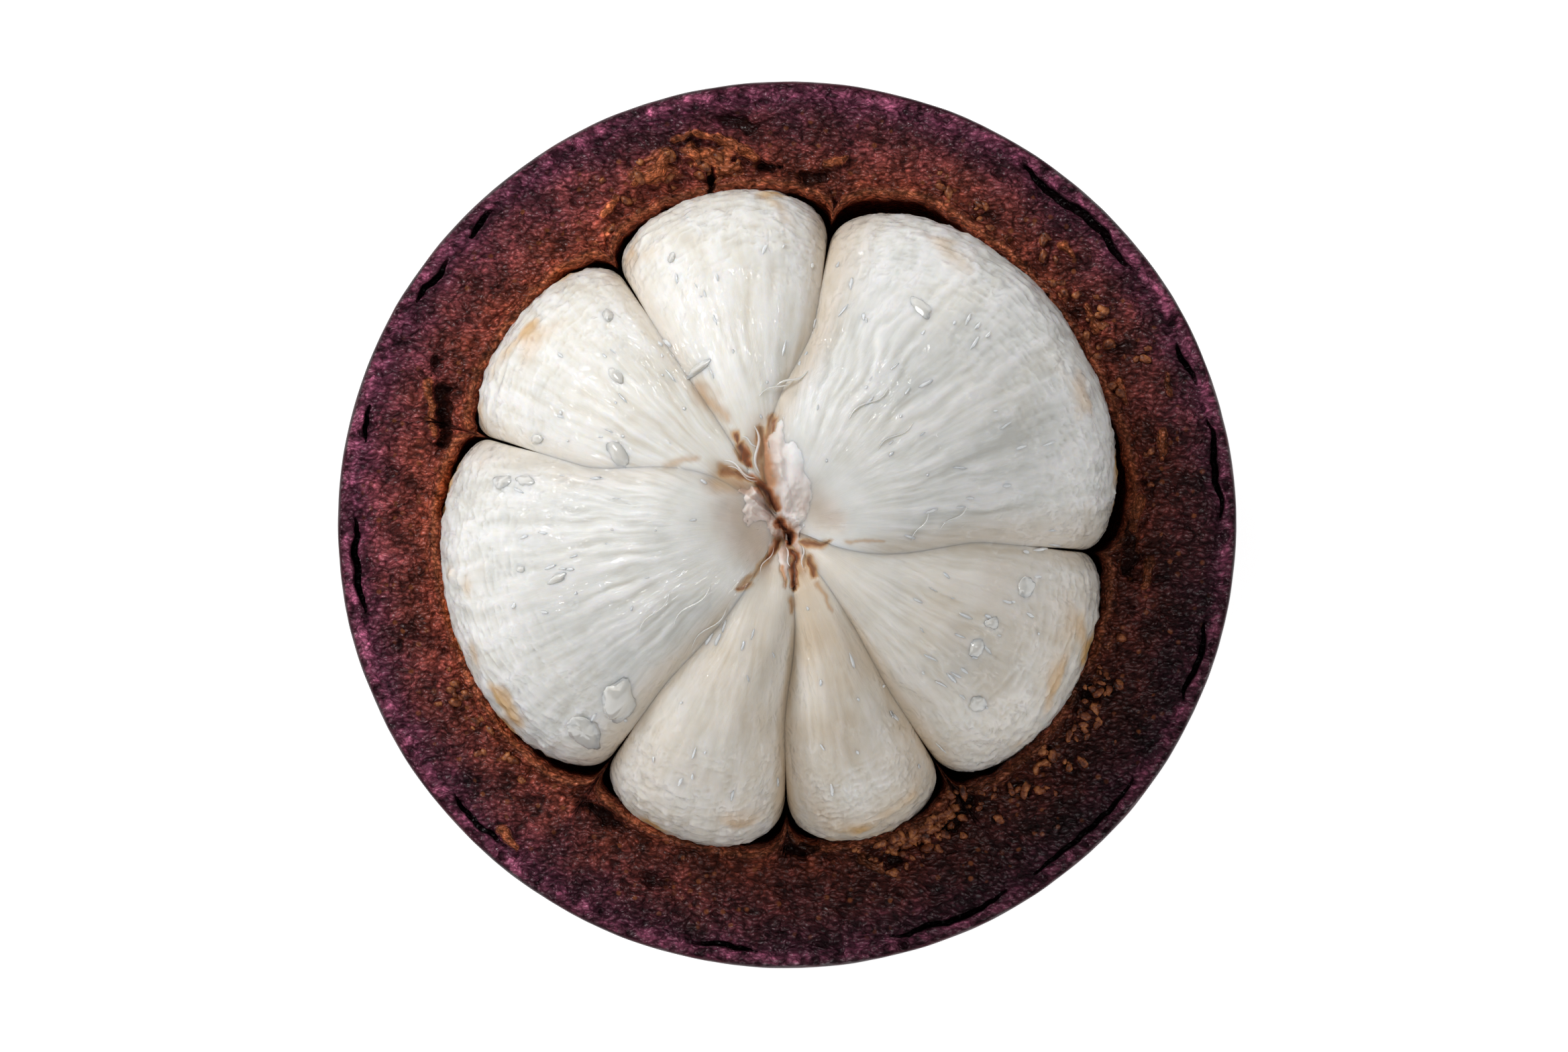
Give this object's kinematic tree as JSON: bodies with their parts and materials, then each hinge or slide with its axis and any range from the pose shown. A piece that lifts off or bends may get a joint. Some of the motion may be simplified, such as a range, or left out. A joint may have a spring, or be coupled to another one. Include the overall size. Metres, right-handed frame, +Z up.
{
  "type": "halved mangosteen",
  "caption": "Fruit opened round its middle: a thick rind bowl standing on its woody blossom-end rosette, with the whole cluster of white segments seated in it round a fibrous core.",
  "frame": {"origin": "on the surface that the half rests on, below the middle of the fruit", "axes": "+Z up out of the cut face, +X to the right and +Y to the top of the picture, which looks down on the cut"},
  "size_m": [0.062, 0.0612, 0.0431],
  "materials": {
    "rind": "rough, moist cut flesh in brown and purple; the outside is a smooth, faintly waxy purple skin",
    "segment_flesh": "wet, translucent white fruit flesh with fine fibres",
    "core": "torn fibrous tissue, brown inside and pale pink at its edges",
    "rosette": "dry, dull, corky brown"
  },
  "bodies": {
    "root": {"rind": "rind", "stigma_rosette": "rosette", "core": "core", "segment_top": "segment_flesh", "segment_upper_left": "segment_flesh", "segment_left": "segment_flesh", "segment_lower_left": "segment_flesh", "segment_lower_right": "segment_flesh", "segment_right": "segment_flesh", "segment_upper_right": "segment_flesh"}
  },
  "joints": []
}
